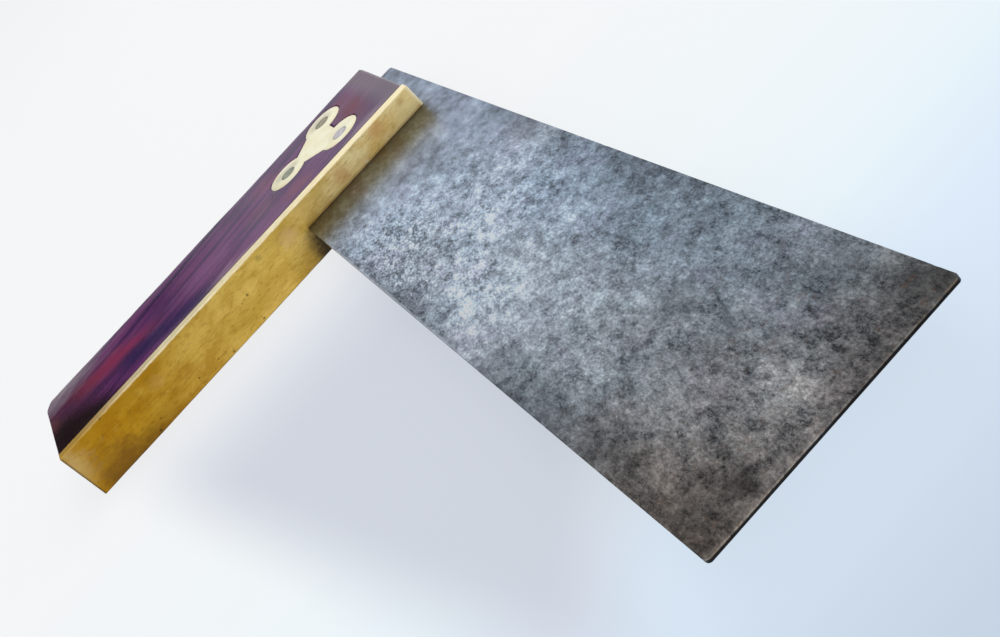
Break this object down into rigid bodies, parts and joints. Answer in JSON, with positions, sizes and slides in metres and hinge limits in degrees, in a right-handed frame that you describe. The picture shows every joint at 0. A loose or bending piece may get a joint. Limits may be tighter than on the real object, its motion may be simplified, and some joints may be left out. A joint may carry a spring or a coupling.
{
  "type": "try square",
  "caption": "Woodworker's try square: a brass-faced hardwood stock holding a broad steel blade at a right angle, riveted through lobed brass inlays.",
  "frame": {"origin": "the square's inside corner: on the brass face, level with the blade's inner edge, at the middle of the stock's thickness", "axes": "+X along the blade, away from the brass face; +Y along the stock towards its head; +Z out of the front side, so the square lies flat on its back side"},
  "size_m": [0.2786, 0.148, 0.0168],
  "materials": {
    "stock_wood": "old polish, satin",
    "facing_brass": "worn and lightly tarnished",
    "blade_steel": "mottled grey patina",
    "inlay_brass": "polished flush with the wood",
    "rivet_steel": "filed flush, darkened",
    "screw_brass": "filed flush"
  },
  "bodies": {
    "root": {"stock": "stock_wood", "facing_plate": "facing_brass", "blade": "blade_steel", "front_escutcheon": "inlay_brass", "back_escutcheon": "inlay_brass", "upper_back_rivet": "rivet_steel", "upper_face_rivet": "rivet_steel", "lower_rivet": "rivet_steel", "facing_screw_1": "screw_brass", "facing_screw_2": "screw_brass", "facing_screw_3": "screw_brass", "front_facing_pin": "screw_brass", "back_facing_pin": "screw_brass"}
  },
  "joints": []
}
